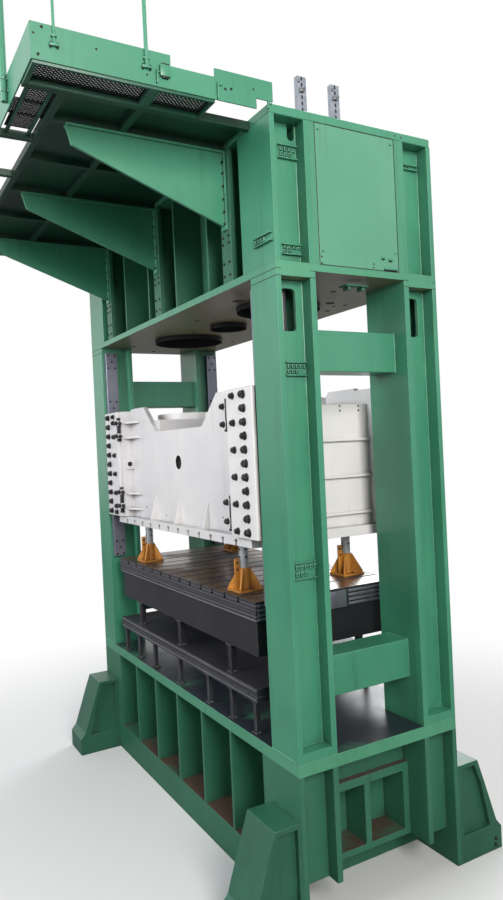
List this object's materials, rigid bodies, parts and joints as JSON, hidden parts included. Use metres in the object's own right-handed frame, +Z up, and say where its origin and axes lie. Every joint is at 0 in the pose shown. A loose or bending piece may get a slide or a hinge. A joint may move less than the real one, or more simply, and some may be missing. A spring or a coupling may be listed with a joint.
{
  "type": "hydraulic press",
  "caption": "Four-column hydraulic press frame with a guided slide held on safety props over a slotted bolster, and a service platform on the crown.",
  "frame": {"origin": "middle of the press on the floor, under the centre of the bolster", "axes": "+Z up; -Y towards the platform side; +X to the right seen from the platform side"},
  "size_m": [5.556, 4.691, 8.679],
  "materials": {
    "green_paint": "worn green gloss paint",
    "dark_green_paint": "worn dark green paint",
    "white_paint": "off-white gloss paint",
    "dark_steel": "dark oiled steel",
    "rail_steel": "blue-grey machined steel",
    "orange_paint": "orange-yellow paint",
    "post_steel": "light grey steel",
    "zinc": "galvanised",
    "rod_steel": "plain turned steel"
  },
  "bodies": {
    "frame": {"bed_body": "green_paint", "bed_deck": "green_paint", "foot_front_right": "dark_green_paint", "column_front_right": "green_paint", "guide_rail_front_right": "rail_steel", "tie_rod_front_right": "rod_steel", "crown_corner_front_right": "green_paint", "prop_base_front_right": "orange_paint", "foot_front_left": "dark_green_paint", "column_front_left": "green_paint", "guide_rail_front_left": "rail_steel", "tie_rod_front_left": "rod_steel", "crown_corner_front_left": "green_paint", "prop_base_front_left": "orange_paint", "foot_rear_right": "dark_green_paint", "column_rear_right": "green_paint", "guide_rail_rear_right": "rail_steel", "tie_rod_rear_right": "rod_steel", "crown_corner_rear_right": "green_paint", "prop_base_rear_right": "orange_paint", "foot_rear_left": "dark_green_paint", "column_rear_left": "green_paint", "guide_rail_rear_left": "rail_steel", "tie_rod_rear_left": "rod_steel", "crown_corner_rear_left": "green_paint", "prop_base_rear_left": "orange_paint", "cross_beam_upper_right": "green_paint", "cross_beam_lower_right": "green_paint", "crown_cover_right": "green_paint", "platform_fascia_right": "green_paint", "cross_beam_upper_left": "green_paint", "cross_beam_lower_left": "green_paint", "crown_cover_left": "green_paint", "platform_fascia_left": "green_paint", "platform_fascia_front": "green_paint", "crown_floor": "green_paint", "crown_body": "dark_green_paint", "crown_roof": "green_paint", "bolster_top": "dark_steel", "bolster_body": "dark_steel", "lower_table": "dark_steel", "platform_bracket_1": "green_paint", "platform_bracket_2": "green_paint", "platform_bracket_3": "green_paint", "platform_deck": "green_paint", "platform_grating": "dark_green_paint", "channel_1": "zinc", "channel_2": "zinc"},
    "slide": {"slide_guide_front_right": "white_paint", "slide_guide_front_left": "white_paint", "slide_guide_rear_right": "white_paint", "slide_guide_rear_left": "white_paint", "slide_base": "white_paint", "slide_body": "white_paint", "slide_plate_front": "white_paint", "slide_plate_rear": "white_paint"},
    "prop_front_right": {"prop_post_front_right": "post_steel"},
    "prop_front_left": {"prop_post_front_left": "post_steel"},
    "prop_rear_right": {"prop_post_rear_right": "post_steel"},
    "prop_rear_left": {"prop_post_rear_left": "post_steel"}
  },
  "joints": [
    {"name": "slide_travel", "type": "slide", "parent": "frame", "child": "slide", "axis": [0, 0, 1], "range_m": [0, 0.9]},
    {"name": "prop_front_right_travel", "type": "slide", "parent": "frame", "child": "prop_front_right", "axis": [0, 0, 1], "range_m": [-0.095, 0]},
    {"name": "prop_front_left_travel", "type": "slide", "parent": "frame", "child": "prop_front_left", "axis": [0, 0, 1], "range_m": [-0.095, 0]},
    {"name": "prop_rear_right_travel", "type": "slide", "parent": "frame", "child": "prop_rear_right", "axis": [0, 0, 1], "range_m": [-0.095, 0]},
    {"name": "prop_rear_left_travel", "type": "slide", "parent": "frame", "child": "prop_rear_left", "axis": [0, 0, 1], "range_m": [-0.095, 0]}
  ]
}
